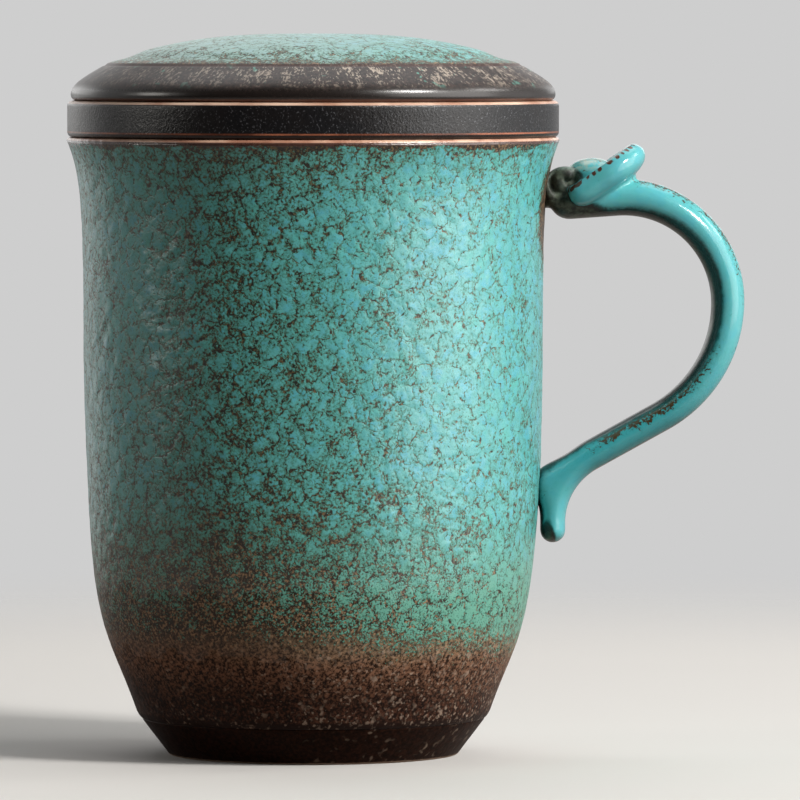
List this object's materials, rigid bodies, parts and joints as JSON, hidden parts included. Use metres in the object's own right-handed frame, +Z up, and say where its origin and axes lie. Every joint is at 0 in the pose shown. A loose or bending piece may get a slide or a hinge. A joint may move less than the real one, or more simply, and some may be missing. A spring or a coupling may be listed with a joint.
{
  "type": "lidded tea mug with infuser",
  "caption": "Tall glazed stoneware tea mug with an ear handle and ruyi-head thumb rest, a lift-out ceramic infuser that hangs on the lip, and a loose domed lid.",
  "frame": {"origin": "centre of the foot on the table, on the axis of the mug", "axes": "+Z up along the axis of the mug, +X towards the handle"},
  "size_m": [0.1156, 0.084, 0.1229],
  "materials": {
    "turquoise_glaze": "crackled turquoise glaze over brown, satin to glossy",
    "iron_glaze": "dark brown satin iron glaze",
    "charcoal_glaze": "charcoal satin glaze with brown edges"
  },
  "bodies": {
    "mug": {"mug_body": "turquoise_glaze", "foot_ring": "iron_glaze", "handle_bow": "turquoise_glaze", "thumb_rest": "turquoise_glaze", "thumb_scroll": "turquoise_glaze"},
    "infuser": {"infuser_collar": "charcoal_glaze", "infuser_basket": "charcoal_glaze", "strainer_floor": "charcoal_glaze"},
    "lid": {"lid_cap": "turquoise_glaze", "lid_skirt": "charcoal_glaze"}
  },
  "joints": [
    {"name": "infuser_lift", "type": "slide", "parent": "mug", "child": "infuser", "axis": [0, 0, 1], "range_m": [0, 0.085]},
    {"name": "lid_lift", "type": "slide", "parent": "infuser", "child": "lid", "axis": [0, 0, 1], "range_m": [0, 0.035]}
  ]
}
